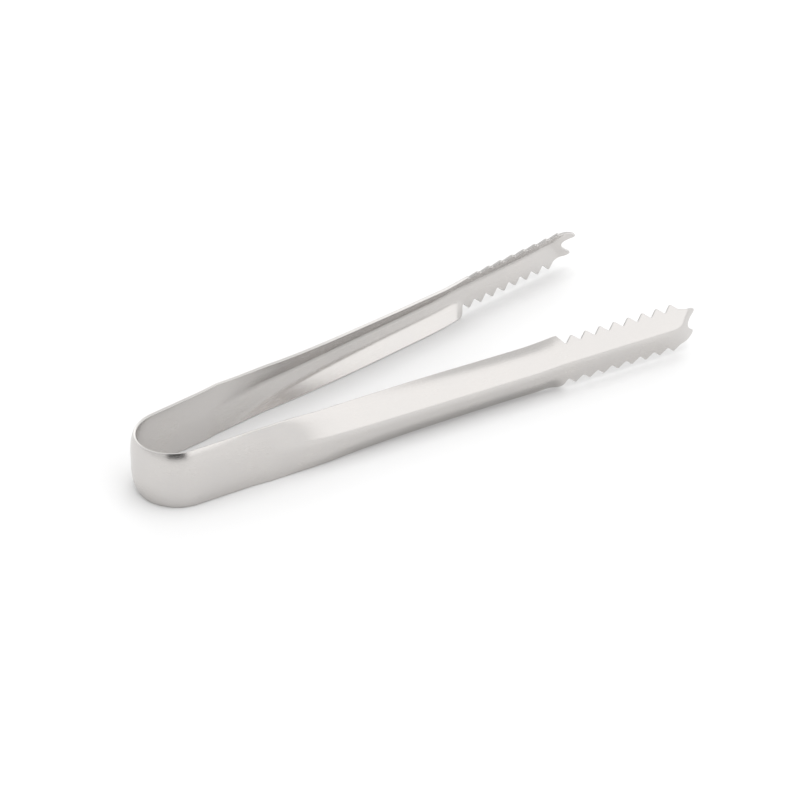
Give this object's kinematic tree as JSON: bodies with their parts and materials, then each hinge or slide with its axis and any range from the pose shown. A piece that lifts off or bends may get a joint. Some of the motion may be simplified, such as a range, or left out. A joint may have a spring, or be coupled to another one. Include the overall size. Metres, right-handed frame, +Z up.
{
  "type": "ice tongs",
  "caption": "Sprung tongs bent from one steel strip: U-shaped spring bow, channelled arms and toothed claw jaws for gripping ice.",
  "frame": {"origin": "on the resting surface, under the middle of the bounding box", "axes": "+X from the spring bow to the claws (longest), +Y to the left arm, +Z up across the width of the strip (shortest)"},
  "size_m": [0.1776, 0.0634, 0.0178],
  "materials": {
    "stainless_steel": "satin polished stainless sheet"
  },
  "bodies": {
    "bow": {"spring_bow": "stainless_steel"},
    "left_arm": {"left_arm": "stainless_steel", "left_jaw": "stainless_steel"},
    "right_arm": {"right_arm": "stainless_steel", "right_jaw": "stainless_steel"}
  },
  "joints": [
    {"name": "left_squeeze", "type": "hinge", "parent": "bow", "child": "left_arm", "pos_m": [-0.0835, 0.00745, 0.00894], "axis": [0, 0, -1], "range_deg": [-2.5, 9], "stiffness_Nm_per_rad": 8},
    {"name": "right_squeeze", "type": "hinge", "parent": "bow", "child": "right_arm", "pos_m": [-0.0835, -0.00745, 0.00894], "axis": [0, 0, 1], "range_deg": [-2.5, 9], "stiffness_Nm_per_rad": 8}
  ],
  "couplings": [
    {"joint": "right_squeeze", "follows": "left_squeeze", "ratio": 1}
  ]
}
